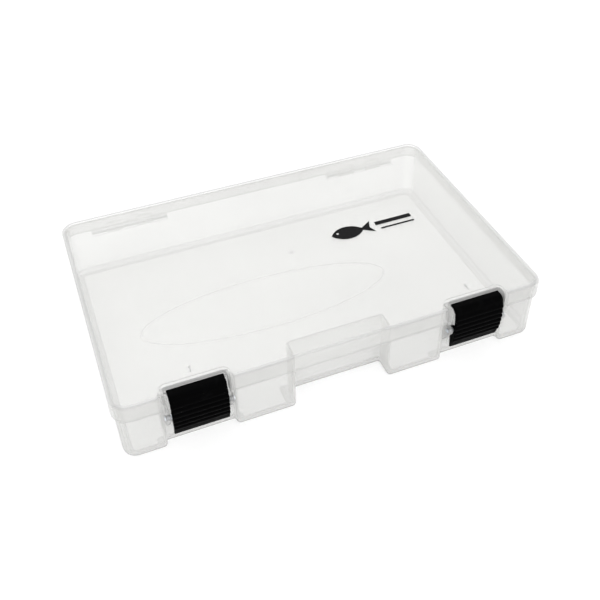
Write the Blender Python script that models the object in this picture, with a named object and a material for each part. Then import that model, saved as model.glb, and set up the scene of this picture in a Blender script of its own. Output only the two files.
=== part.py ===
"""Fishing tackle box: a shallow moulded tray, a hinged lid and two rocking latches.

Units are metres, +Z is up and the front is at -Y. The origin is the centre of the whole box's footprint,
on the surface that the tray stands on. Every length below is written in millimetres times MM.
"""
import math

import bmesh
import bpy
from mathutils import Matrix, Vector

MM = 0.001
GAP = 0.3 * MM                      # clearance kept between pieces that touch

# Lid
LID_WIDTH = 280 * MM
LID_DEPTH = 182 * MM
LID_TOP = 45.9 * MM                 # height of the closed box
LID_CORNER = 10.5 * MM
LID_EDGE = 2 * MM                   # rounding of the top edge
WALL = 1.4 * MM                     # moulded wall of lid and tray
SKIRT_BOTTOM = 34.6 * MM

# Tray
SIDE_STEP = 1.7 * MM                # the tray's wall is set in from the lid's
TRAY_CORNER = 8.8 * MM
RIM = 44.1 * MM                     # the tray's rim lies just under the lid's plate
FLOOR = 1.6 * MM
DRAFT = 0.005                       # inward slope of the tray's walls towards the floor
BOTTOM_EDGE = 2.4 * MM
INNER_EDGE = 2.7 * MM

# Grip recess in the middle of the tray's front
GRIP_HALF = 30.8 * MM
GRIP_DEPTH = 13.6 * MM
BLOCK_CORNER = 2.5 * MM             # outer corners of the recess and the latch pockets
POCKET_CORNER = 1 * MM              # inner corners of the same

# Latch pockets, latches and their pins
LATCH_X = 91 * MM
LATCH_WIDTH = 33.8 * MM
POCKET_HALF = 21.1 * MM
POCKET_DEPTH = 4.4 * MM
POCKET_RIM = 42.1 * MM              # the rim is lower where the lid's ledge passes over it
PIN_Y = -90.2 * MM
PIN_Z = 28 * MM
LATCH_PIN_RADIUS = 1.5 * MM
EAR_INNER = 17.5 * MM               # from the latch's middle to the near face of an ear
EAR_THICK = 2.8 * MM
EAR_NOSE = 2.6 * MM
EAR_BOTTOM = 14 * MM
PIN_OVERHANG = 0.7 * MM
SHELL = 1.5 * MM                    # latch shell
CHEEK = 1.6 * MM
CHEEK_BOSS = 2.7 * MM
LATCH_TAIL = (-90.3 * MM, 12.1 * MM)      # (y, z) of the outer face at its lower end
LATCH_BELLY = (-93.7 * MM, 29.6 * MM)
LATCH_SHOULDER = (-92.6 * MM, 42 * MM)
LATCH_CROWN = (-88.6 * MM, 45.7 * MM)
HOOK_TIP = -85.1 * MM
RIDGES = 6
RIDGE_PITCH = 3.9 * MM
RIDGE_TOP = 40.8 * MM
RIDGE_HEIGHT = 0.5 * MM

# Notch in the lid round each latch
NOTCH_HALF = 18.8 * MM
NOTCH_BACK = -83.3 * MM
LEDGE_FRONT = -84.8 * MM
LEDGE_TOP = 43.9 * MM
LEDGE_THICK = 1.4 * MM
NOTCH_WALL_END = -85.5 * MM         # the notch's side walls stop in front of the tray

# Rear hinges
HINGE_X = 92 * MM
HINGE_Y = 92.4 * MM
HINGE_Z = 30.5 * MM
KNUCKLE_RADIUS = 2.5 * MM
HINGE_PIN_RADIUS = 1 * MM
HINGE_HALF = 28 * MM
KNUCKLES = 5                        # odd ones belong to the tray, even ones to the lid

ARC_STEPS = 5
ROUND_STEPS = 28


def clear_scene():
    for item in list(bpy.data.objects):
        bpy.data.objects.remove(item, do_unlink=True)


def material(name, colour, roughness, metallic=0.0, alpha=1.0):
    made = bpy.data.materials.new(name)
    made.use_nodes = True
    shader = made.node_tree.nodes["Principled BSDF"]
    shader.inputs["Base Color"].default_value = (*colour, 1.0)
    shader.inputs["Roughness"].default_value = roughness
    shader.inputs["Metallic"].default_value = metallic
    shader.inputs["Alpha"].default_value = alpha
    made.diffuse_color = (*colour, alpha)
    return made


def new_object(name, form, look=None):
    """Turn a bmesh into an object with outward faces."""
    bmesh.ops.recalc_face_normals(form, faces=form.faces)
    mesh = bpy.data.meshes.new(name)
    form.to_mesh(mesh)
    form.free()
    made = bpy.data.objects.new(name, mesh)
    bpy.context.scene.collection.objects.link(made)
    if look:
        mesh.materials.append(look)
    return made


def combine(target, tool, operation):
    """Unite the tool with the target or cut it away, and remove the tool."""
    step = target.modifiers.new("step", "BOOLEAN")
    step.operation = operation
    step.solver = "EXACT"
    step.object = tool
    bpy.context.view_layer.update()
    graph = bpy.context.evaluated_depsgraph_get()
    mesh = bpy.data.meshes.new_from_object(target.evaluated_get(graph))
    target.modifiers.clear()
    target.data = mesh
    bpy.data.objects.remove(tool, do_unlink=True)


def block(low, high):
    """A box between two corners."""
    form = bmesh.new()
    bmesh.ops.create_cube(form, size=1.0)
    size = Vector(high) - Vector(low)
    middle = (Vector(high) + Vector(low)) / 2
    bmesh.ops.scale(form, vec=size, verts=form.verts)
    bmesh.ops.translate(form, vec=middle, verts=form.verts)
    return new_object("block", form)


def rod(start_x, end_x, y, z, radius, name="rod", look=None):
    """A round bar along X."""
    form = bmesh.new()
    turn = Matrix.Rotation(math.pi / 2, 4, "Y")
    place = Matrix.Translation(((start_x + end_x) / 2, y, z))
    bmesh.ops.create_cone(
        form, cap_ends=True, segments=ROUND_STEPS, radius1=radius, radius2=radius,
        depth=abs(end_x - start_x), matrix=place @ turn)
    return new_object(name, form, look)


def prism(points, start_x, end_x, name="prism", look=None):
    """A (y, z) outline extruded along X."""
    form = bmesh.new()
    near = [form.verts.new((start_x, y, z)) for y, z in points]
    far = [form.verts.new((end_x, y, z)) for y, z in points]
    form.faces.new(near)
    form.faces.new(list(reversed(far)))
    for i in range(len(points)):
        j = (i + 1) % len(points)
        form.faces.new((near[i], near[j], far[j], far[i]))
    return new_object(name, form, look)


def arc(centre, radius, start, end, steps):
    """Points on a circle, from one angle in degrees to another."""
    points = []
    for i in range(steps + 1):
        angle = math.radians(start + (end - start) * i / steps)
        points.append((centre[0] + radius * math.cos(angle), centre[1] + radius * math.sin(angle)))
    return points


def arc_through(first, middle, last, steps):
    """Points on the circle through three points."""
    (ax, ay), (bx, by), (cx, cy) = first, middle, last
    d = 2 * (ax * (by - cy) + bx * (cy - ay) + cx * (ay - by))
    a2, b2, c2 = ax * ax + ay * ay, bx * bx + by * by, cx * cx + cy * cy
    ox = (a2 * (by - cy) + b2 * (cy - ay) + c2 * (ay - by)) / d
    oy = (a2 * (cx - bx) + b2 * (ax - cx) + c2 * (bx - ax)) / d
    start = math.degrees(math.atan2(ay - oy, ax - ox))
    end = math.degrees(math.atan2(cy - oy, cx - ox))
    sweep = (end - start + 180) % 360 - 180
    return arc((ox, oy), math.hypot(ax - ox, ay - oy), start, start + sweep, steps)


def ring(corners, inset, steps=ARC_STEPS):
    """An outline with square turns, moved inwards by inset, its corners rounded.

    corners lists (x, y, radius) anticlockwise. An outer corner's radius shrinks with the inset and an
    inner corner's grows, up to the room that the shortest edge leaves.
    """
    points = []
    for i, (x, y, radius) in enumerate(corners):
        corner = Vector((x, y))
        before = (corner - Vector(corners[i - 1][:2])).normalized()
        after = (Vector(corners[(i + 1) % len(corners)][:2]) - corner).normalized()
        left_before = Vector((-before.y, before.x))
        left_after = Vector((-after.y, after.x))
        corner += inset * (left_before + left_after)
        outer = before.cross(after) > 0
        if outer:
            size = max(radius - inset, 0.5 * MM)
            centre = corner + size * (after - before)
            spoke = -left_before
        else:
            size = min(radius + inset, POCKET_CORNER + WALL)
            centre = corner + size * (after - before)
            spoke = left_before
        turn = math.pi / 2 if outer else -math.pi / 2
        for k in range(steps + 1):
            angle = turn * k / steps
            arm = Vector((spoke.x * math.cos(angle) - spoke.y * math.sin(angle),
                          spoke.x * math.sin(angle) + spoke.y * math.cos(angle)))
            points.append(centre + size * arm)
    return points


def shell(corners, profile):
    """A closed solid from rings of one outline: profile lists (inset, z), the ends are capped."""
    form = bmesh.new()
    rings = []
    for inset, z in profile:
        rings.append([form.verts.new((p.x, p.y, z)) for p in ring(corners, inset)])
    for low, high in zip(rings, rings[1:]):
        for i in range(len(low)):
            j = (i + 1) % len(low)
            form.faces.new((low[i], low[j], high[j], high[i]))
    form.faces.new(rings[0])
    form.faces.new(rings[-1])
    return form


def tray_corners():
    """The tray's outer outline at its rim: front recess and latch pockets included."""
    x = LID_WIDTH / 2 - SIDE_STEP
    y = LID_DEPTH / 2 - SIDE_STEP
    half = [(GRIP_HALF, GRIP_DEPTH, POCKET_CORNER), (GRIP_HALF, 0, BLOCK_CORNER),
            (LATCH_X - POCKET_HALF, 0, BLOCK_CORNER), (LATCH_X - POCKET_HALF, POCKET_DEPTH, POCKET_CORNER),
            (LATCH_X + POCKET_HALF, POCKET_DEPTH, POCKET_CORNER), (LATCH_X + POCKET_HALF, 0, BLOCK_CORNER)]
    right = [(px, depth - y, radius) for px, depth, radius in half]
    left = [(-px, py, radius) for px, py, radius in reversed(right)]
    return left + right + [(x, -y, TRAY_CORNER), (x, y, TRAY_CORNER), (-x, y, TRAY_CORNER),
                           (-x, -y, TRAY_CORNER)]


def tray_profile():
    """(inset, z) from the underside, up the outer wall, over the rim and down to the floor."""
    def slope(z):
        return DRAFT * (RIM - z)
    outer = [(slope(BOTTOM_EDGE) - y, z) for y, z in
             arc((-BOTTOM_EDGE, BOTTOM_EDGE), BOTTOM_EDGE, 270, 360, 4)]
    top = [(0, RIM), (WALL, RIM)]
    turn = FLOOR + INNER_EDGE
    inner = [(slope(turn) + WALL - y, z) for y, z in
             arc((-INNER_EDGE, turn), INNER_EDGE, 360, 270, 4)]
    return outer + top + inner


def ear(centre_x, side):
    """A flat ear that carries one end of a latch pin."""
    near = centre_x + side * EAR_INNER
    far = near + side * EAR_THICK
    back = -(LID_DEPTH / 2 - SIDE_STEP) + POCKET_DEPTH + WALL / 2
    nose = arc((PIN_Y, PIN_Z), EAR_NOSE, 90, 210, 8)
    outline = [(back, PIN_Z + EAR_NOSE)] + nose + [(back, EAR_BOTTOM)]
    return prism(outline, near, far)


def knuckle_spans():
    """(x0, x1, on_lid) of every hinge knuckle."""
    step = 2 * HINGE_HALF / KNUCKLES
    spans = []
    for side in (-1, 1):
        for k in range(KNUCKLES):
            start = side * HINGE_X - HINGE_HALF + k * step
            spans.append((start + GAP / 2, start + step - GAP / 2, k % 2 == 1))
    return spans


def knuckle(x0, x1, on_lid):
    """A barrel with the web that joins it to the lid's skirt or to the tray's back wall."""
    barrel = rod(x0, x1, HINGE_Y, HINGE_Z, KNUCKLE_RADIUS)
    root = 0.65 * KNUCKLE_RADIUS        # how near to the axis the web reaches, clear of the bore
    if on_lid:
        inside_skirt = LID_DEPTH / 2 - WALL / 2
        web = block((x0, inside_skirt, HINGE_Z + root),
                    (x1, HINGE_Y + KNUCKLE_RADIUS / 2, SKIRT_BOTTOM + WALL))
    else:
        inside_wall = LID_DEPTH / 2 - SIDE_STEP - WALL / 2
        web = block((x0, inside_wall, HINGE_Z - root), (x1, HINGE_Y - root, HINGE_Z + WALL / 2))
    combine(barrel, web, "UNION")
    return barrel


def hinge_half(target, on_lid):
    """Add the knuckles of one side of both hinges to the target, and bore them for the pins."""
    for x0, x1, lid_side in knuckle_spans():
        if lid_side == on_lid:
            combine(target, knuckle(x0, x1, on_lid), "UNION")
    for side in (-1, 1):
        reach = HINGE_HALF + MM
        bore = rod(side * HINGE_X - reach, side * HINGE_X + reach, HINGE_Y, HINGE_Z, HINGE_PIN_RADIUS + GAP)
        combine(target, bore, "DIFFERENCE")


def make_tray(look):
    tray = new_object("base_tray", shell(tray_corners(), tray_profile()), look)
    for side in (-1, 1):
        x = side * LATCH_X
        reach = POCKET_HALF - GAP
        front = -LID_DEPTH / 2
        combine(tray, block((x - reach, front, POCKET_RIM), (x + reach, front + 12 * MM, LID_TOP)), "DIFFERENCE")
        for end in (-1, 1):
            combine(tray, ear(x, end), "UNION")
        reach = EAR_INNER + EAR_THICK + MM
        combine(tray, rod(x - reach, x + reach, PIN_Y, PIN_Z, LATCH_PIN_RADIUS + GAP), "DIFFERENCE")
    hinge_half(tray, False)
    return tray


def lid_corners():
    x, y = LID_WIDTH / 2, LID_DEPTH / 2
    return [(x, -y, LID_CORNER), (x, y, LID_CORNER), (-x, y, LID_CORNER), (-x, -y, LID_CORNER)]


def lid_profile():
    """(inset, z) from the top plate, down the skirt and up inside it."""
    outer = [(-y, z) for y, z in
             arc((-LID_EDGE, LID_TOP - LID_EDGE), LID_EDGE, 90, 0, 4)]
    under = LID_TOP - WALL
    inner = LID_EDGE - WALL
    inside = [(WALL - y, z) for y, z in arc((-inner, under - inner), inner, 0, 90, 2)]
    return outer + [(0, SKIRT_BOTTOM), (WALL, SKIRT_BOTTOM)] + inside


def notch_frame(centre_x):
    """Walls and ledge that stand round a latch's notch, with the notch itself still filled."""
    front = -LID_DEPTH / 2
    half = NOTCH_HALF + WALL
    frame = block((centre_x - half, front + WALL / 2, LEDGE_TOP - LEDGE_THICK),
                  (centre_x + half, NOTCH_BACK + WALL, LID_TOP - WALL / 2))
    walls = block((centre_x - half, front + WALL / 2, SKIRT_BOTTOM),
                  (centre_x + half, NOTCH_WALL_END, LEDGE_TOP - LEDGE_THICK / 2))
    combine(frame, walls, "UNION")
    return frame


def make_lid(look):
    lid = new_object("lid", shell(lid_corners(), lid_profile()), look)
    front = -LID_DEPTH / 2 - MM
    above = LID_TOP + MM
    for side in (-1, 1):
        x = side * LATCH_X
        combine(lid, notch_frame(x), "UNION")
        opening = block((x - NOTCH_HALF, front, LEDGE_TOP), (x + NOTCH_HALF, NOTCH_BACK, above))
        passage = block((x - NOTCH_HALF, front, SKIRT_BOTTOM - MM), (x + NOTCH_HALF, LEDGE_FRONT, above))
        combine(opening, passage, "UNION")
        combine(lid, opening, "DIFFERENCE")
    hinge_half(lid, True)
    return lid


def latch_outline():
    """Closed (y, z) section of the latch's shell, ridges on its outer face."""
    face = arc_through(LATCH_TAIL, LATCH_BELLY, LATCH_SHOULDER, 40)
    ridged = []
    lowest = RIDGE_TOP - RIDGES * RIDGE_PITCH
    for y, z in face:
        wave = 0.0
        if lowest < z < RIDGE_TOP:
            wave = RIDGE_HEIGHT * abs(math.sin(math.pi * (RIDGE_TOP - z) / RIDGE_PITCH))
        ridged.append((y - wave, z))
    (sy, sz), (cy, cz) = LATCH_SHOULDER, LATCH_CROWN
    crown = arc_through((sy, sz), (sy + 0.28 * (cy - sy), sz + 0.72 * (cz - sz)), (cy, cz), 5)
    outer = ridged + crown[1:] + [(HOOK_TIP, cz)]
    inner_face = arc_through(*[(y + SHELL, z) for y, z in (LATCH_TAIL, LATCH_BELLY, LATCH_SHOULDER)], 12)
    inner = [(HOOK_TIP, cz - SHELL), (cy + 0.3 * SHELL, cz - SHELL)] + list(reversed(inner_face))
    return outer + inner


def cheek(start_x, end_x):
    """A side cheek that carries the pin, from the shell back round the pin's boss."""
    boss = arc((PIN_Y, PIN_Z), CHEEK_BOSS, 0, 120, 7)
    inside = 0.5 * SHELL
    heel = (LATCH_TAIL[0] + SHELL, LATCH_TAIL[1] + 0.6 * MM)
    belly = (LATCH_BELLY[0] + inside, PIN_Z)
    outline = boss + [belly, (LATCH_TAIL[0] + inside, LATCH_TAIL[1] + 0.6 * MM), heel]
    return prism(outline, start_x, end_x)


def latch_mesh(look):
    """The latch's mesh, its origin on the pin's axis in the middle of its width."""
    half = LATCH_WIDTH / 2
    latch = prism(latch_outline(), -half, half, "latch", look)
    for side in (-1, 1):
        combine(latch, cheek(side * (half - CHEEK), side * half), "UNION")
    combine(latch, rod(-half - MM, half + MM, PIN_Y, PIN_Z, LATCH_PIN_RADIUS + GAP), "DIFFERENCE")
    mesh = latch.data
    mesh.transform(Matrix.Translation((0, -PIN_Y, -PIN_Z)))
    bpy.data.objects.remove(latch, do_unlink=True)
    return mesh


def place_latches(look):
    mesh = latch_mesh(look)
    for name, side in (("latch_left", -1), ("latch_right", 1)):
        latch = bpy.data.objects.new(name, mesh)
        latch.location = (side * LATCH_X, PIN_Y, PIN_Z)
        bpy.context.scene.collection.objects.link(latch)


def place_pins(look):
    latch_reach = EAR_INNER + EAR_THICK + PIN_OVERHANG
    hinge_reach = HINGE_HALF - GAP
    for name, side in (("left", -1), ("right", 1)):
        x = side * LATCH_X
        rod(x - latch_reach, x + latch_reach, PIN_Y, PIN_Z, LATCH_PIN_RADIUS, "latch_pin_" + name, look)
        x = side * HINGE_X
        rod(x - hinge_reach, x + hinge_reach, HINGE_Y, HINGE_Z, HINGE_PIN_RADIUS, "hinge_pin_" + name, look)


def move_origin(item, point):
    """Put the object's origin on a joint's axis without moving its mesh."""
    item.data.transform(Matrix.Translation(-Vector(point)))
    item.location = point


def shade(item, angle=30):
    item.data.shade_smooth()
    item.data.set_sharp_from_angle(angle=math.radians(angle))


def main():
    clear_scene()
    clear_plastic = material("clear_polypropylene", (0.86, 0.87, 0.85), 0.32, alpha=0.45)
    black_plastic = material("black_plastic", (0.012, 0.012, 0.013), 0.42)
    steel = material("steel", (0.55, 0.57, 0.6), 0.28, metallic=1.0)
    make_tray(clear_plastic)
    lid = make_lid(clear_plastic)
    move_origin(lid, (0, HINGE_Y, HINGE_Z))
    place_latches(black_plastic)
    place_pins(steel)
    for item in bpy.context.scene.objects:
        shade(item)


main()
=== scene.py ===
"""Looks of a fishing tackle box: clear moulded tray and lid, ribbed black latches and steel pins.

Units are metres, +Z is up and the front is at -Y, as in the CAD frame. The overall sizes and the places of
the latches and pins come from the frame's boxes. Other lengths are written in millimetres times MM.
"""
import math

import bmesh
import bpy
from mathutils import Matrix, Vector


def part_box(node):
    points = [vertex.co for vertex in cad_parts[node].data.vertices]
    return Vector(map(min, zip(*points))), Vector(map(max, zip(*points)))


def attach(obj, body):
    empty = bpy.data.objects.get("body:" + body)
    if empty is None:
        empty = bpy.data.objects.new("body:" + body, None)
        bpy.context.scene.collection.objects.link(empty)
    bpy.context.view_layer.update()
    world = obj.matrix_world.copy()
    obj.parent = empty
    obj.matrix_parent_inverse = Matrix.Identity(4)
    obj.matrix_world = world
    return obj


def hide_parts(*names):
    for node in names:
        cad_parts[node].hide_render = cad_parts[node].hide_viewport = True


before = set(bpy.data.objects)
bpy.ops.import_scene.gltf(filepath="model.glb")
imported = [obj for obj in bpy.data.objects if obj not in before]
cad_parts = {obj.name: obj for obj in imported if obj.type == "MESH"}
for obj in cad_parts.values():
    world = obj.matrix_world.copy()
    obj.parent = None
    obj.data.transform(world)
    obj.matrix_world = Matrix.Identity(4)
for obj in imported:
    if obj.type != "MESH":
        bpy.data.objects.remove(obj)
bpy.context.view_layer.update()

MM = 0.001

# Sizes read from the frame
LID_LOW, LID_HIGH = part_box("lid")
TRAY_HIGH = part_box("base_tray")[1]
LATCH_LOW, LATCH_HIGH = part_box("latch_right")
LATCH_PIN_LOW, LATCH_PIN_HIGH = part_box("latch_pin_right")
HINGE_PIN_LOW, HINGE_PIN_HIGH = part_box("hinge_pin_right")

LID_HALF = LID_HIGH.x
LID_FRONT = LID_LOW.y
LID_TOP = LID_HIGH.z
RIM = TRAY_HIGH.z
TRAY_HALF = TRAY_HIGH.x
SIDE_STEP = LID_HALF - TRAY_HALF
TRAY_FRONT = LID_FRONT + SIDE_STEP
LATCH_X = (LATCH_LOW.x + LATCH_HIGH.x) / 2
LATCH_HALF = (LATCH_HIGH.x - LATCH_LOW.x) / 2
PIN_Y = (LATCH_PIN_LOW.y + LATCH_PIN_HIGH.y) / 2
PIN_Z = (LATCH_PIN_LOW.z + LATCH_PIN_HIGH.z) / 2
PIN_RADIUS = (LATCH_PIN_HIGH.z - LATCH_PIN_LOW.z) / 2
PIN_HALF = (LATCH_PIN_HIGH.x - LATCH_PIN_LOW.x) / 2
HINGE_X = (HINGE_PIN_LOW.x + HINGE_PIN_HIGH.x) / 2
HINGE_Y = (HINGE_PIN_LOW.y + HINGE_PIN_HIGH.y) / 2
HINGE_Z = (HINGE_PIN_LOW.z + HINGE_PIN_HIGH.z) / 2
HINGE_PIN_RADIUS = (HINGE_PIN_HIGH.z - HINGE_PIN_LOW.z) / 2
HINGE_PIN_HALF = (HINGE_PIN_HIGH.x - HINGE_PIN_LOW.x) / 2

# Moulding
GAP = 0.3 * MM
WALL = 1.4 * MM
LIP = 0.45 * MM                     # rounding of the rims
SMALL_ROUNDING = 0.3 * MM           # of ears and knuckles
FINE_ROUNDING = 0.25 * MM           # of latches, hinge pins and the lid's hinge webs
PIN_CHAMFER = 0.35 * MM
MARGIN = 1 * MM                     # flat band beside a rounding, which keeps the big faces flat
LID_CORNER = 10.5 * MM
LID_EDGE = 2 * MM
LID_INNER_EDGE = 1.2 * MM
SKIRT_BOTTOM = 34.6 * MM
TRAY_CORNER = 8.8 * MM
FLOOR = 1.6 * MM
DRAFT = 0.005
BOTTOM_EDGE = 3.2 * MM
INNER_EDGE = 3 * MM
FOOT_INSET = 5.5 * MM               # inner edge of the band that the tray stands on
FOOT_RISE = 0.3 * MM

# Grip recess and latch pockets
GRIP_HALF = 30.8 * MM
GRIP_DEPTH = 13.6 * MM
BLOCK_CORNER = 3 * MM
POCKET_CORNER = 1 * MM
POCKET_HALF = 21.1 * MM
POCKET_DEPTH = 4.4 * MM
POCKET_RIM = 42.1 * MM
EAR_INNER = 17.5 * MM
EAR_THICK = 2.8 * MM
EAR_NOSE = 2.6 * MM
EAR_BOTTOM = 14 * MM

# Latch
SHELL = 1.5 * MM
CHEEK = 1.6 * MM
CHEEK_INSET = 0.3 * MM              # the cheeks' outer faces stand in from the shell's ends
CHEEK_BOSS = 2.7 * MM
LATCH_TAIL = (-90.3 * MM, 12.1 * MM)      # (y, z) of the outer face at its lower end
LATCH_BELLY = (-93.7 * MM, 29.6 * MM)
LATCH_SHOULDER = (-92.6 * MM, 42 * MM)
LATCH_CROWN = (-88.6 * MM, 45.7 * MM)
HOOK_TIP = -85.1 * MM
RIDGES = 6
RIDGE_PITCH = 3.9 * MM
RIDGE_TOP = 40.8 * MM
RIDGE_HEIGHT = 0.75 * MM

# Notch in the lid round each latch, with a raised bead
NOTCH_HALF = 18.8 * MM
NOTCH_BACK = -83.3 * MM
NOTCH_CORNER = 2.4 * MM
LEDGE_FRONT = -84.8 * MM
LEDGE_TOP = 43.9 * MM
LEDGE_THICK = 1.4 * MM
NOTCH_WALL_END = -85.5 * MM
BEAD_WIDTH = 2.35 * MM
BEAD_RISE = 0.7 * MM

# Printed mark: a fish and two plain bars
INK = 0.06 * MM
FISH_NOSE = 31.5 * MM
FISH_Y = 4.3 * MM
FISH_LENGTH = 31 * MM
FISH_HALF_HEIGHT = 6.6 * MM
FISH_TAIL_HALF = 6.2 * MM
FISH_EYE = 0.9 * MM
BARS = ((65, 92.5, 4.2, 8), (67, 92.5, -0.8, 0.8))      # (x0, x1, y0, y1) in millimetres

# Low relief and moulding marks on the lid
OVAL_CENTRE = (-31 * MM, -39 * MM)
OVAL_HALF = (80 * MM, 22.5 * MM)
OVAL_BAND = 0.9 * MM
OVAL_RISE = 0.1 * MM
MARK_ROOT = 0.1 * MM                # how deep the marks are set into the plate
GATE_RADIUS = 1.6 * MM
TICK_Y = -73.5 * MM
TICK_LENGTH = 4.5 * MM
TICK_HALF = 0.3 * MM
TICK_DOT = 0.75 * MM

# Rear hinges
KNUCKLE_RADIUS = 2.5 * MM
HINGE_HALF = 28 * MM
KNUCKLES = 5                        # odd ones belong to the tray, even ones to the lid

# Camera: where it stands as seen from the middle of the box's underside
CAMERA_AZIMUTH = -21.289
CAMERA_ELEVATION = 39.999
CAMERA_ROLL = -0.869
CAMERA_DISTANCE = 579.87 * MM
CAMERA_RIGHT = 12.15 * MM
CAMERA_UP = 36.49 * MM
LENS = 49.132
SHIFT_X = -0.0167
SHIFT_Y = -0.0833

# Studio
WORLD_GLOW = 1.3
FLOOR_GLOW = 0.68
LAMPS = (("top_softbox", (-0.35, 0.25, 1.6), 1.4, 7),       # (name, place, size in metres, watts)
         ("front_softbox", (0.5, -1.5, 0.9), 1.0, 3))
FLOOR_HALF = 12                     # half the width of the table, in metres
FLOOR_DROP = 0.2 * MM               # keeps the table clear of the tray's underside

# Tools and paint
SHARP_ANGLE = 35                    # degrees between two faces, from which their edge is bevelled
OVERSHOOT = 3 * MM                  # how far a cutting tool reaches past the surface

# The edge look is the same clear plastic made denser and darker. Its darker colour is painted shade for the
# dark lines that light draws where plastic is seen edge on: along rims, roundings, outer bands, ears, bores
# and notch walls.
BODY = 0                            # material index of the broad walls
EDGE = 1                            # and of rims, roundings and outer bands, where plastic is seen edge on


# Mesh tools

def new_object(name, form, looks=()):
    """Turn a bmesh into an object with outward faces."""
    bmesh.ops.recalc_face_normals(form, faces=form.faces)
    mesh = bpy.data.meshes.new(name)
    form.to_mesh(mesh)
    form.free()
    made = bpy.data.objects.new(name, mesh)
    bpy.context.scene.collection.objects.link(made)
    for look in looks:
        mesh.materials.append(look)
    return made


def paint(item, index):
    """Give every face of a tool piece one material index."""
    for face in item.data.polygons:
        face.material_index = index
    return item


def combine(target, tool, operation):
    """Unite the tool with the target, keep what they share or cut it away, and remove the tool."""
    step = target.modifiers.new("step", "BOOLEAN")
    step.operation = operation
    step.solver = "EXACT"
    step.object = tool
    bpy.context.view_layer.update()
    graph = bpy.context.evaluated_depsgraph_get()
    mesh = bpy.data.meshes.new_from_object(target.evaluated_get(graph))
    target.modifiers.clear()
    target.data = mesh
    bpy.data.objects.remove(tool, do_unlink=True)


def soften(form, width):
    """Bevel a bmesh's sharp edges."""
    bmesh.ops.recalc_face_normals(form, faces=form.faces)
    limit = math.radians(SHARP_ANGLE)
    edges = [e for e in form.edges if len(e.link_faces) == 2 and e.calc_face_angle() > limit]
    bmesh.ops.bevel(form, geom=edges, offset=width, segments=2, affect="EDGES", clamp_overlap=True)


def block(low, high, rounding=0.0):
    """A box between two corners."""
    form = bmesh.new()
    bmesh.ops.create_cube(form, size=1.0)
    size = Vector(high) - Vector(low)
    middle = (Vector(high) + Vector(low)) / 2
    bmesh.ops.scale(form, vec=size, verts=form.verts)
    bmesh.ops.translate(form, vec=middle, verts=form.verts)
    if rounding:
        soften(form, rounding)
    return new_object("block", form)


def rod(start_x, end_x, y, z, radius, rounding=0.0, segments=40, name="rod", looks=()):
    """A round bar along X."""
    form = bmesh.new()
    turn = Matrix.Rotation(math.pi / 2, 4, "Y")
    place = Matrix.Translation(((start_x + end_x) / 2, y, z))
    bmesh.ops.create_cone(
        form, cap_ends=True, segments=segments, radius1=radius, radius2=radius,
        depth=abs(end_x - start_x), matrix=place @ turn)
    if rounding:
        soften(form, rounding)
    return new_object(name, form, looks)


def prism(points, start, end, to_space, rounding=0.0, name="prism", looks=()):
    """A flat outline extruded from start to end. to_space turns (a, b, along) into a point."""
    form = bmesh.new()
    near = [form.verts.new(to_space(a, b, start)) for a, b in points]
    far = [form.verts.new(to_space(a, b, end)) for a, b in points]
    form.faces.new(near)
    form.faces.new(list(reversed(far)))
    for i in range(len(points)):
        j = (i + 1) % len(points)
        form.faces.new((near[i], near[j], far[j], far[i]))
    if rounding:
        soften(form, rounding)
    return new_object(name, form, looks)


def across(y, z, x):
    """For an outline in Y and Z extruded along X."""
    return (x, y, z)


def upward(x, y, z):
    """For an outline in X and Y extruded along Z."""
    return (x, y, z)


def arc(centre, radius, start, end, steps):
    """Points on a circle, from one angle in degrees to another."""
    points = []
    for i in range(steps + 1):
        angle = math.radians(start + (end - start) * i / steps)
        points.append((centre[0] + radius * math.cos(angle), centre[1] + radius * math.sin(angle)))
    return points


def arc_through(first, middle, last, steps):
    """Points on the circle through three points."""
    (ax, ay), (bx, by), (cx, cy) = first, middle, last
    d = 2 * (ax * (by - cy) + bx * (cy - ay) + cx * (ay - by))
    a2, b2, c2 = ax * ax + ay * ay, bx * bx + by * by, cx * cx + cy * cy
    ox = (a2 * (by - cy) + b2 * (cy - ay) + c2 * (ay - by)) / d
    oy = (a2 * (cx - bx) + b2 * (ax - cx) + c2 * (bx - ax)) / d
    start = math.degrees(math.atan2(ay - oy, ax - ox))
    end = math.degrees(math.atan2(cy - oy, cx - ox))
    sweep = (end - start + 180) % 360 - 180
    return arc((ox, oy), math.hypot(ax - ox, ay - oy), start, start + sweep, steps)


def ring(corners, inset):
    """An outline with square turns, moved inwards by inset, its corners rounded.

    corners lists (x, y, radius) anticlockwise. An outer corner's radius shrinks with the inset and an
    inner corner's grows, up to the room that the shortest edge leaves.
    """
    points = []
    for i, (x, y, radius) in enumerate(corners):
        corner = Vector((x, y))
        before = (corner - Vector(corners[i - 1][:2])).normalized()
        after = (Vector(corners[(i + 1) % len(corners)][:2]) - corner).normalized()
        left_before = Vector((-before.y, before.x))
        left_after = Vector((-after.y, after.x))
        corner += inset * (left_before + left_after)
        outer = before.cross(after) > 0
        if outer:
            size = max(radius - inset, 0.5 * MM)
            spoke = -left_before
        else:
            size = min(radius + inset, POCKET_CORNER + WALL)
            spoke = left_before
        centre = corner + size * (after - before)
        turn = math.pi / 2 if outer else -math.pi / 2
        steps = 14 if radius > 6 * MM else 6
        for k in range(steps + 1):
            angle = turn * k / steps
            arm = Vector((spoke.x * math.cos(angle) - spoke.y * math.sin(angle),
                          spoke.x * math.sin(angle) + spoke.y * math.cos(angle)))
            points.append(centre + size * arm)
    return points


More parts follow.
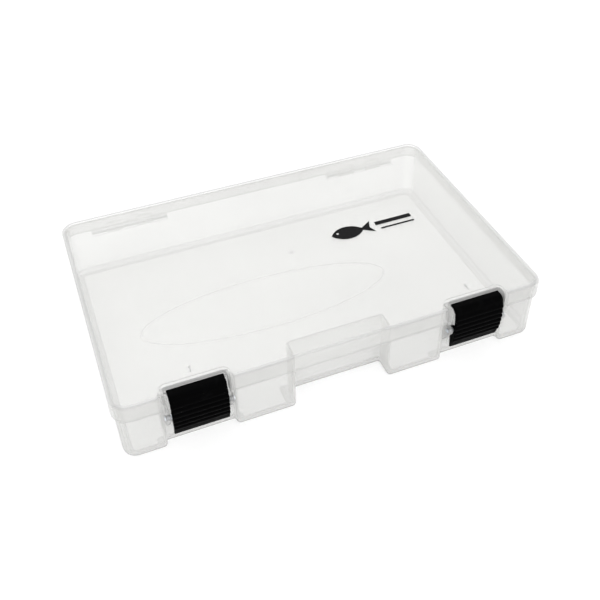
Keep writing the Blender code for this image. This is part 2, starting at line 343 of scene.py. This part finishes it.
def shell(name, corners, profile, looks=()):
    """A closed solid from rings of one outline.

    profile lists (inset, z, index): the faces from one ring to the next take the first ring's index. The
    two ends are capped.
    """
    form = bmesh.new()
    rings = []
    for inset, z, _ in profile:
        rings.append([form.verts.new((p.x, p.y, z)) for p in ring(corners, inset)])
    for (low, high), (_, _, index) in zip(zip(rings, rings[1:]), profile):
        for i in range(len(low)):
            j = (i + 1) % len(low)
            form.faces.new((low[i], low[j], high[j], high[i])).material_index = index
    form.faces.new(rings[0])
    form.faces.new(rings[-1])
    return new_object(name, form, looks)


def rounded(centre, radius, start, end, steps, edge_steps=None, after=BODY):
    """Profile rows along a rounding, centre given as (inset, z).

    Its first edge_steps steps, or all of them, take the edge look, whose darker colour is painted shade. The
    face after it gets its own index.
    """
    painted = steps if edge_steps is None else edge_steps
    rows = []
    for k, (outward, z) in enumerate(arc((0, centre[1]), radius, start, end, steps)):
        rows.append((centre[0] - outward, z, EDGE if k < painted else BODY))
    rows[-1] = (*rows[-1][:2], after)
    return rows


def drop_slivers(item):
    """Remove the faces without any width that a cut can leave behind."""
    form = bmesh.new()
    form.from_mesh(item.data)
    bmesh.ops.dissolve_degenerate(form, dist=0.001 * MM, edges=form.edges)
    form.to_mesh(item.data)
    form.free()


def finish_surface(item, angle=32):
    """Smooth shading that keeps broad faces flat beside their roundings."""
    drop_slivers(item)
    item.data.shade_smooth()
    item.data.set_sharp_from_angle(angle=math.radians(angle))
    weighted = item.modifiers.new("flat_faces", "WEIGHTED_NORMAL")
    weighted.keep_sharp = True
    weighted.weight = 80


def hand_over(item, body):
    """Name the body that a piece moves with."""
    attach(item, body)


# Tray

def tray_corners():
    """The tray's outer outline at its rim: front recess and latch pockets included."""
    x, y = TRAY_HALF, -TRAY_FRONT
    half = [(GRIP_HALF, GRIP_DEPTH, POCKET_CORNER), (GRIP_HALF, 0, BLOCK_CORNER),
            (LATCH_X - POCKET_HALF, 0, BLOCK_CORNER), (LATCH_X - POCKET_HALF, POCKET_DEPTH, POCKET_CORNER),
            (LATCH_X + POCKET_HALF, POCKET_DEPTH, POCKET_CORNER), (LATCH_X + POCKET_HALF, 0, BLOCK_CORNER)]
    right = [(px, depth - y, radius) for px, depth, radius in half]
    left = [(-px, py, radius) for px, py, radius in reversed(right)]
    return left + right + [(x, -y, TRAY_CORNER), (x, y, TRAY_CORNER), (-x, y, TRAY_CORNER),
                           (-x, -y, TRAY_CORNER)]


def tray_profile():
    """Rows from the underside's foot band, up the outer wall, over the rim and down to the floor."""
    def slope(z):
        return DRAFT * (RIM - z)
    # The foot's step, the bottom rounding and the rim take the edge look: painted shade along these edges.
    foot = [(FOOT_INSET + MARGIN + FOOT_RISE, FOOT_RISE, BODY), (FOOT_INSET + FOOT_RISE, FOOT_RISE, EDGE),
            (FOOT_INSET, 0, EDGE)]
    outer = rounded((slope(BOTTOM_EDGE) + BOTTOM_EDGE, BOTTOM_EDGE), BOTTOM_EDGE, 270, 360, 8)
    rim_start = RIM - LIP
    rim = rounded((slope(rim_start) + LIP, rim_start), LIP, 0, 90, 3, after=EDGE)
    rim += rounded((slope(rim_start) + WALL - LIP, rim_start), LIP, 90, 180, 3)
    turn = FLOOR + INNER_EDGE
    inner = rounded((slope(turn) + WALL + INNER_EDGE, turn), INNER_EDGE, 360, 270, 8, 0)
    floor = [(slope(turn) + WALL + INNER_EDGE + MARGIN, FLOOR, BODY)]
    return foot + outer + rim + inner + floor


def ear(centre_x, side):
    """A flat ear that carries one end of a latch pin."""
    near = centre_x + side * EAR_INNER
    far = near + side * EAR_THICK
    back = TRAY_FRONT + POCKET_DEPTH + WALL / 2
    nose = arc((PIN_Y, PIN_Z), EAR_NOSE, 90, 210, 16)
    outline = [(back, PIN_Z + EAR_NOSE)] + nose + [(back, EAR_BOTTOM)]
    return paint(prism(outline, near, far, across, SMALL_ROUNDING), EDGE)


def knuckle_spans():
    """(x0, x1, on_lid) of every hinge knuckle."""
    step = 2 * HINGE_HALF / KNUCKLES
    spans = []
    for side in (-1, 1):
        for k in range(KNUCKLES):
            start = side * HINGE_X - HINGE_HALF + k * step
            spans.append((start + GAP / 2, start + step - GAP / 2, k % 2 == 1))
    return spans


def knuckle(x0, x1, on_lid):
    """A barrel with the web that joins it to the lid's skirt or to the tray's back wall."""
    barrel = rod(x0, x1, HINGE_Y, HINGE_Z, KNUCKLE_RADIUS, SMALL_ROUNDING)
    root = 0.65 * KNUCKLE_RADIUS
    inner = x0 + SMALL_ROUNDING, x1 - SMALL_ROUNDING
    if on_lid:
        inside_skirt = -LID_FRONT - WALL / 2
        web = block((inner[0], inside_skirt, HINGE_Z + root),
                    (inner[1], HINGE_Y + KNUCKLE_RADIUS / 2, SKIRT_BOTTOM + WALL), FINE_ROUNDING)
    else:
        inside_wall = -TRAY_FRONT - WALL / 2
        web = block((inner[0], inside_wall, HINGE_Z - root),
                    (inner[1], HINGE_Y - root, HINGE_Z + WALL / 2))
    combine(barrel, web, "UNION")
    return barrel


def hinge_half(target, on_lid):
    """Add the knuckles of one side of both hinges to the target, and bore them for the pins."""
    for x0, x1, lid_side in knuckle_spans():
        if lid_side == on_lid:
            combine(target, knuckle(x0, x1, on_lid), "UNION")
    for side in (-1, 1):
        reach = HINGE_HALF + MM
        bore = rod(side * HINGE_X - reach, side * HINGE_X + reach, HINGE_Y, HINGE_Z, HINGE_PIN_RADIUS + GAP)
        combine(target, bore, "DIFFERENCE")


def make_tray(looks):
    tray = shell("tray", tray_corners(), tray_profile(), looks)
    for side in (-1, 1):
        x = side * LATCH_X
        reach = POCKET_HALF - GAP
        low = block((x - reach, LID_FRONT, POCKET_RIM), (x + reach, LID_FRONT + 12 * MM, LID_TOP))
        combine(tray, paint(low, EDGE), "DIFFERENCE")
        for end in (-1, 1):
            combine(tray, ear(x, end), "UNION")
        reach = EAR_INNER + EAR_THICK + MM
        # The bores take the edge look: painted shade inside them.
        bore = rod(x - reach, x + reach, PIN_Y, PIN_Z, PIN_RADIUS + GAP)
        combine(tray, paint(bore, EDGE), "DIFFERENCE")
    hinge_half(tray, False)
    finish_surface(tray)
    hand_over(tray, "base")
    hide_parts("base_tray")


# Lid

def lid_corners():
    x, y = LID_HALF, -LID_FRONT
    return [(x, -y, LID_CORNER), (x, y, LID_CORNER), (-x, y, LID_CORNER), (-x, -y, LID_CORNER)]


def lid_profile(proud=0.0, wall=WALL):
    """Rows from the top plate, down the skirt and up inside it, its outer face moved out by proud."""
    top, under = LID_TOP + proud, LID_TOP - wall
    edge = LID_EDGE + proud
    # The outer band of the plate and the upper half of the top rounding take the edge look: a painted shaded
    # line along the lid's top edge.
    rows = [(LID_EDGE + MARGIN, top, EDGE)]
    rows += rounded((edge - proud, top - edge), edge, 90, 0, 8, 4)
    rows += rounded((LIP - proud, SKIRT_BOTTOM + LIP), LIP, 0, -90, 3, after=EDGE)
    rows += rounded((wall - LIP, SKIRT_BOTTOM + LIP), LIP, -90, -180, 3)
    turn = LID_INNER_EDGE
    rows += rounded((wall + turn, under - turn), turn, 0, 90, 4, 0)
    rows.append((wall + turn + MARGIN, under, BODY))
    return rows


def notch_outline(half, back, corner, front):
    """A plan outline open towards the front, its two back corners rounded."""
    right = arc((half - corner, back - corner), corner, 0, 90, 8)
    left = arc((corner - half, back - corner), corner, 90, 180, 8)
    return [(half, front)] + right + left + [(-half, front)]


def bead(centre_x):
    """The raised band round a latch's notch, which follows the lid's plate, edge and skirt."""
    proud = shell("bead", lid_corners(), lid_profile(BEAD_RISE, WALL / 2))
    front = LID_FRONT - OVERSHOOT
    half, back = NOTCH_HALF + BEAD_WIDTH, NOTCH_BACK + BEAD_WIDTH
    outline = notch_outline(half, back, NOTCH_CORNER + BEAD_WIDTH, front)
    outline = [(x + centre_x, y) for x, y in outline]
    band = prism(outline, SKIRT_BOTTOM - MM, LID_TOP + 2 * MM, upward)
    # The bead's outer wall takes the edge look, a painted shaded line round it. Its top keeps the wall look.
    combine(paint(proud, BODY), paint(band, EDGE), "INTERSECT")
    return proud


def notch_frame(centre_x):
    """Walls and ledge that stand round a latch's notch, with the notch itself still filled."""
    half = NOTCH_HALF + WALL
    frame_block = block((centre_x - half, LID_FRONT + WALL / 2, LEDGE_TOP - LEDGE_THICK),
                        (centre_x + half, NOTCH_BACK + WALL, LID_TOP - WALL / 2))
    walls = block((centre_x - half, LID_FRONT + WALL / 2, SKIRT_BOTTOM),
                  (centre_x + half, NOTCH_WALL_END, LEDGE_TOP - LEDGE_THICK / 2))
    combine(frame_block, walls, "UNION")
    return paint(frame_block, EDGE)


def cut_notch(lid, centre_x):
    front = LID_FRONT - OVERSHOOT
    above = LID_TOP + OVERSHOOT
    outline = notch_outline(NOTCH_HALF, NOTCH_BACK, NOTCH_CORNER, front)
    opening = prism([(x + centre_x, y) for x, y in outline], LEDGE_TOP, above, upward)
    passage = block((centre_x - NOTCH_HALF, front, SKIRT_BOTTOM - MM),
                    (centre_x + NOTCH_HALF, LEDGE_FRONT, above))
    combine(opening, passage, "UNION")
    combine(lid, paint(opening, EDGE), "DIFFERENCE")


def make_lid(looks):
    lid = shell("lid_shell", lid_corners(), lid_profile(), looks)
    for side in (-1, 1):
        combine(lid, notch_frame(side * LATCH_X), "UNION")
        combine(lid, bead(side * LATCH_X), "UNION")
        cut_notch(lid, side * LATCH_X)
    hinge_half(lid, True)
    finish_surface(lid)
    hand_over(lid, "lid")
    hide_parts("lid")


# Marks on the lid

def fish_outline():
    """A plain fish that faces -X, nose first, round the belly to the tail and back over the top."""
    root = FISH_NOSE + 0.74 * FISH_LENGTH
    tail = FISH_NOSE + FISH_LENGTH
    middle = (FISH_NOSE + root) / 2
    waist = 0.2 * FISH_TAIL_HALF
    belly = arc_through((FISH_NOSE, FISH_Y), (middle, FISH_Y - FISH_HALF_HEIGHT), (root, FISH_Y - waist), 28)
    back = arc_through((root, FISH_Y + waist), (middle, FISH_Y + FISH_HALF_HEIGHT), (FISH_NOSE, FISH_Y), 28)
    fork = FISH_NOSE + 0.92 * FISH_LENGTH
    fins = [(tail, FISH_Y - FISH_TAIL_HALF), (fork, FISH_Y), (tail, FISH_Y + FISH_TAIL_HALF)]
    return belly + fins + back[:-1]


def make_printed_mark(ink):
    mark = prism(fish_outline(), LID_TOP, LID_TOP + INK, upward, 0, "printed_fish", [ink])
    eye = (FISH_NOSE + 0.16 * FISH_LENGTH, FISH_Y + 0.2 * FISH_HALF_HEIGHT)
    hole = prism(arc(eye, FISH_EYE, 0, 345, 23), LID_TOP - MM, LID_TOP + MM, upward)
    combine(mark, hole, "DIFFERENCE")
    hand_over(mark, "lid")
    for number, (x0, x1, y0, y1) in enumerate(BARS):
        low = (x0 * MM, y0 * MM, LID_TOP)
        high = (x1 * MM, y1 * MM, LID_TOP + INK)
        bar = block(low, high)
        bar.name = "printed_bar_%d" % (number + 1)
        bar.data.materials.append(ink)
        hand_over(bar, "lid")


def oval(band):
    """The relief's oval outline, moved out by half a band or in by a negative one."""
    points = []
    for i in range(120):
        angle = 2 * math.pi * i / 120
        points.append((OVAL_CENTRE[0] + (OVAL_HALF[0] + band) * math.cos(angle),
                       OVAL_CENTRE[1] + (OVAL_HALF[1] + band) * math.sin(angle)))
    return points


def make_relief(wall_look, edge_look):
    """A faint oval ridge with the gate mark in the lid's middle, and a pointer above each latch."""
    low, high = LID_TOP - MARK_ROOT, LID_TOP + OVAL_RISE
    ridge = prism(oval(OVAL_BAND / 2), low, high, upward, 0, "lid_relief", [wall_look])
    combine(ridge, prism(oval(-OVAL_BAND / 2), low - MM, LID_TOP + MM, upward), "DIFFERENCE")
    gate = prism(arc((0, 0), GATE_RADIUS, 0, 350, 35), low, high, upward)
    combine(ridge, gate, "UNION")
    finish_surface(ridge)
    hand_over(ridge, "lid")
    for name, side in (("left", -1), ("right", 1)):
        x = side * LATCH_X
        # The pointers take the edge look, whose darker colour is painted shade.
        dot = prism(arc((x, TICK_Y), TICK_DOT, 0, 345, 23), low, high, upward, 0,
                    "lid_pointer_" + name, [edge_look])
        tick = block((x - TICK_HALF, TICK_Y - TICK_LENGTH, low), (x + TICK_HALF, TICK_Y, high))
        combine(dot, tick, "UNION")
        finish_surface(dot)
        hand_over(dot, "lid")


# Latches

def latch_outline():
    """Closed (y, z) section of the latch's shell, ridges on its outer face."""
    face = arc_through(LATCH_TAIL, LATCH_BELLY, LATCH_SHOULDER, 110)
    ridged = []
    lowest = RIDGE_TOP - RIDGES * RIDGE_PITCH
    for y, z in face:
        wave = 0.0
        if lowest < z < RIDGE_TOP:
            wave = RIDGE_HEIGHT * abs(math.sin(math.pi * (RIDGE_TOP - z) / RIDGE_PITCH))
        ridged.append((y - wave, z))
    (sy, sz), (cy, cz) = LATCH_SHOULDER, LATCH_CROWN
    crown = arc_through((sy, sz), (sy + 0.28 * (cy - sy), sz + 0.72 * (cz - sz)), (cy, cz), 10)
    outer = ridged + crown[1:] + [(HOOK_TIP, cz)]
    inner_face = arc_through(*[(y + SHELL, z) for y, z in (LATCH_TAIL, LATCH_BELLY, LATCH_SHOULDER)], 24)
    inner = [(HOOK_TIP, cz - SHELL), (cy + 0.3 * SHELL, cz - SHELL)] + list(reversed(inner_face))
    return outer + inner


def cheek(start_x, end_x):
    """A side cheek that carries the pin, from the shell back round the pin's boss."""
    boss = arc((PIN_Y, PIN_Z), CHEEK_BOSS, 0, 120, 14)
    inside = 0.5 * SHELL
    heel = (LATCH_TAIL[0] + SHELL, LATCH_TAIL[1] + 0.6 * MM)
    belly = (LATCH_BELLY[0] + inside, PIN_Z)
    outline = boss + [belly, (LATCH_TAIL[0] + inside, LATCH_TAIL[1] + 0.6 * MM), heel]
    return prism(outline, start_x, end_x, across)


def make_latch(name, side, look):
    x = side * LATCH_X
    latch = prism(latch_outline(), x - LATCH_HALF, x + LATCH_HALF, across, FINE_ROUNDING,
                  "rocker_" + name, [look])
    for end in (-1, 1):
        outer = end * (LATCH_HALF - CHEEK_INSET)
        combine(latch, cheek(x + end * (LATCH_HALF - CHEEK), x + outer), "UNION")
    combine(latch, rod(x - 2 * LATCH_HALF, x + 2 * LATCH_HALF, PIN_Y, PIN_Z, PIN_RADIUS + GAP), "DIFFERENCE")
    finish_surface(latch, 40)
    hand_over(latch, name)
    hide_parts(name)


def make_pins(latch_steel, hinge_steel):
    """Steel pins with chamfered ends, in place of the plain CAD ones."""
    for name, side in (("left", -1), ("right", 1)):
        x = side * LATCH_X
        pin = rod(x - PIN_HALF, x + PIN_HALF, PIN_Y, PIN_Z, PIN_RADIUS, PIN_CHAMFER, 48,
                  "steel_latch_pin_" + name, [latch_steel])
        x = side * HINGE_X
        hinge_pin = rod(x - HINGE_PIN_HALF, x + HINGE_PIN_HALF, HINGE_Y, HINGE_Z, HINGE_PIN_RADIUS,
                        FINE_ROUNDING, 36, "steel_hinge_pin_" + name, [hinge_steel])
        for item, node in ((pin, "latch_pin_" + name), (hinge_pin, "hinge_pin_" + name)):
            finish_surface(item)
            hand_over(item, "base")
            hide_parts(node)


# Materials

class Graph:
    """A material's node tree, with short calls to add and join nodes."""

    def __init__(self, name):
        self.material = bpy.data.materials.new(name)
        self.material.use_nodes = True
        self.tree = self.material.node_tree
        self.shader = self.tree.nodes["Principled BSDF"]
        self.place = self.add("ShaderNodeTexCoord").outputs["Object"]

    def add(self, kind, **settings):
        node = self.tree.nodes.new(kind)
        for name, value in settings.items():
            setattr(node, name, value)
        return node

    def join(self, source, target):
        self.tree.links.new(source, target)

    def noise(self, scale, detail=2.0, stretch=(1, 1, 1)):
        """Noise in the object's own metres, from 0 to 1."""
        mapping = self.add("ShaderNodeMapping")
        mapping.inputs["Scale"].default_value = stretch
        self.join(self.place, mapping.inputs["Vector"])
        made = self.add("ShaderNodeTexNoise")
        made.inputs["Scale"].default_value = scale
        made.inputs["Detail"].default_value = detail
        self.join(mapping.outputs["Vector"], made.inputs["Vector"])
        return made.outputs["Fac"]

    def spread(self, source, low, high, from_low=0.3, from_high=0.7):
        """Map a value onto a range."""
        made = self.add("ShaderNodeMapRange")
        made.inputs["From Min"].default_value = from_low
        made.inputs["From Max"].default_value = from_high
        made.inputs["To Min"].default_value = low
        made.inputs["To Max"].default_value = high
        self.join(source, made.inputs["Value"])
        return made.outputs["Result"]

    def blend(self, factor, first, second):
        """A colour between two colours."""
        made = self.add("ShaderNodeMix", data_type="RGBA")
        for socket in made.inputs:
            if socket.identifier == "A_Color":
                socket.default_value = (*first, 1)
            if socket.identifier == "B_Color":
                socket.default_value = (*second, 1)
        self.join(factor, made.inputs[0])
        return made.outputs[2]

    def math(self, operation, first, second):
        made = self.add("ShaderNodeMath", operation=operation, use_clamp=True)
        for socket, value in zip(made.inputs, (first, second)):
            if isinstance(value, (int, float)):
                socket.default_value = value
            else:
                self.join(value, socket)
        return made.outputs[0]

    def bump(self, height, strength, distance, under=None):
        made = self.add("ShaderNodeBump")
        made.inputs["Strength"].default_value = strength
        made.inputs["Distance"].default_value = distance
        self.join(height, made.inputs["Height"])
        if under:
            self.join(under, made.inputs["Normal"])
        return made.outputs["Normal"]

    def set(self, socket, value):
        self.shader.inputs[socket].default_value = value


def clear_plastic(name, face_alpha, grazing_alpha, light, dark, gloss):
    """Frosted polypropylene: fine grain, cloudy patches, and denser where it is seen at a slant."""
    look = Graph(name)
    cloud = look.noise(9, 3)
    grain = look.noise(1400, 2)
    look.join(look.blend(look.spread(cloud, 0, 1), light, dark), look.shader.inputs["Base Color"])
    slant = look.add("ShaderNodeLayerWeight")
    slant.inputs["Blend"].default_value = 0.5
    dense = look.spread(slant.outputs["Facing"], face_alpha, grazing_alpha, 0.15, 0.95)
    mottled = look.math("ADD", dense, look.spread(cloud, -0.015, 0.015))
    look.join(mottled, look.shader.inputs["Alpha"])
    look.join(look.spread(cloud, 0.24, 0.34), look.shader.inputs["Roughness"])
    look.join(look.bump(grain, 0.04, 0.06 * MM), look.shader.inputs["Normal"])
    look.set("IOR", 1.49)
    look.set("Specular IOR Level", gloss)
    return look.material


def black_plastic():
    """Satin black polypropylene with a fine moulded grain and paler rubbed spots."""
    look = Graph("satin_black_plastic")
    grain = look.noise(1800, 2)
    rub = look.noise(260, 4)
    worn = look.spread(rub, 0, 1, 0.55, 0.8)
    look.join(look.blend(worn, (0.0004, 0.0004, 0.0005), (0.002, 0.002, 0.0022)),
              look.shader.inputs["Base Color"])
    look.join(look.spread(rub, 0.38, 0.55), look.shader.inputs["Roughness"])
    look.join(look.bump(grain, 0.2, 0.1 * MM), look.shader.inputs["Normal"])
    look.set("Specular IOR Level", 0.015)
    return look.material


def brushed_steel(name, dark, light):
    """Drawn steel wire: fine lines round the pin and a faint blue cast."""
    look = Graph(name)
    lines = look.noise(900, 2, (6, 0.4, 0.4))
    look.join(look.blend(lines, dark, light), look.shader.inputs["Base Color"])
    look.join(look.spread(lines, 0.24, 0.42), look.shader.inputs["Roughness"])
    look.join(look.bump(lines, 0.15, 0.05 * MM), look.shader.inputs["Normal"])
    look.set("Metallic", 1.0)
    return look.material


def black_ink():
    """Screen-printed ink with faintly uneven cover."""
    look = Graph("black_ink")
    cover = look.noise(700, 3)
    look.join(look.blend(look.spread(cover, 0, 1), (0.002, 0.002, 0.0022), (0.008, 0.008, 0.0085)),
              look.shader.inputs["Base Color"])
    look.join(look.spread(cover, 0.4, 0.6), look.shader.inputs["Roughness"])
    look.set("Specular IOR Level", 0.06)
    return look.material


def pale_floor():
    """A white table that glows a little from below, so that shadows on it stay faint."""
    look = Graph("pale_floor")
    look.join(look.blend(look.noise(3, 2), (0.3, 0.3, 0.3), (0.32, 0.32, 0.32)),
              look.shader.inputs["Base Color"])
    look.set("Roughness", 0.9)
    look.set("Specular IOR Level", 0.0)
    look.set("Emission Color", (1, 1, 1, 1))
    look.set("Emission Strength", FLOOR_GLOW)
    return look.material


# Surroundings

def make_floor():
    form = bmesh.new()
    bmesh.ops.create_grid(form, x_segments=8, y_segments=8, size=FLOOR_HALF)
    floor = new_object("floor", form, [pale_floor()])
    floor.location.z = -FLOOR_DROP


def make_lights():
    world = bpy.data.worlds.new("studio")
    bpy.context.scene.world = world
    world.use_nodes = True
    world.node_tree.nodes["Background"].inputs["Color"].default_value = (1, 1, 1, 1)
    world.node_tree.nodes["Background"].inputs["Strength"].default_value = WORLD_GLOW
    for name, place, size, power in LAMPS:
        lamp = bpy.data.lights.new(name, "AREA")
        lamp.shape = "SQUARE"
        lamp.size = size
        lamp.energy = power
        item = bpy.data.objects.new(name, lamp)
        item.location = place
        item.rotation_euler = (-Vector(place)).to_track_quat("-Z", "Y").to_euler()
        bpy.context.scene.collection.objects.link(item)


def make_camera():
    azimuth, elevation = math.radians(CAMERA_AZIMUTH), math.radians(CAMERA_ELEVATION)
    back = Vector((math.sin(azimuth) * math.cos(elevation), -math.cos(azimuth) * math.cos(elevation),
                   math.sin(elevation)))
    level = Vector((0, 0, 1)).cross(back).normalized()
    over = back.cross(level)
    roll = math.radians(CAMERA_ROLL)
    right = math.cos(roll) * level + math.sin(roll) * over
    up = math.cos(roll) * over - math.sin(roll) * level
    data = bpy.data.cameras.new("camera")
    data.lens = LENS
    data.sensor_width = 36
    data.shift_x = SHIFT_X
    data.shift_y = SHIFT_Y
    data.clip_start = 0.01
    data.clip_end = 100
    camera = bpy.data.objects.new("camera", data)
    camera.rotation_mode = "QUATERNION"
    camera.rotation_quaternion = Matrix((right, up, back)).transposed().to_quaternion()
    camera.location = CAMERA_DISTANCE * back + CAMERA_RIGHT * right + CAMERA_UP * up
    bpy.context.scene.collection.objects.link(camera)
    bpy.context.scene.camera = camera


make_camera()
make_lights()
make_floor()
walls = clear_plastic("clear_plastic", 0.18, 0.54, (0.66, 0.66, 0.645), (0.63, 0.63, 0.616), 0.12)
# Rims: the same plastic made denser, and darker. The darker colour is painted shade for the dark lines along
# rims and roundings.
rims = clear_plastic("clear_plastic_edge", 0.4, 0.85, (0.5, 0.5, 0.496), (0.46, 0.46, 0.456), 0.03)
make_tray([walls, rims])
make_lid([walls, rims])
latch_look = black_plastic()
make_latch("latch_left", -1, latch_look)
make_latch("latch_right", 1, latch_look)
plain_steel = brushed_steel("drawn_steel", (0.58, 0.61, 0.65), (0.72, 0.75, 0.79))
# The hinge pins get a paler copy of the steel: painted light that keeps them from showing as dark lines
# through the plastic.
lightened_steel = brushed_steel("lightened_steel", (0.86, 0.88, 0.9), (0.93, 0.94, 0.96))
make_pins(plain_steel, lightened_steel)
make_printed_mark(black_ink())
make_relief(walls, rims)

scene = bpy.context.scene
scene.view_settings.view_transform = "Standard"
scene.cycles.transparent_max_bounces = 32
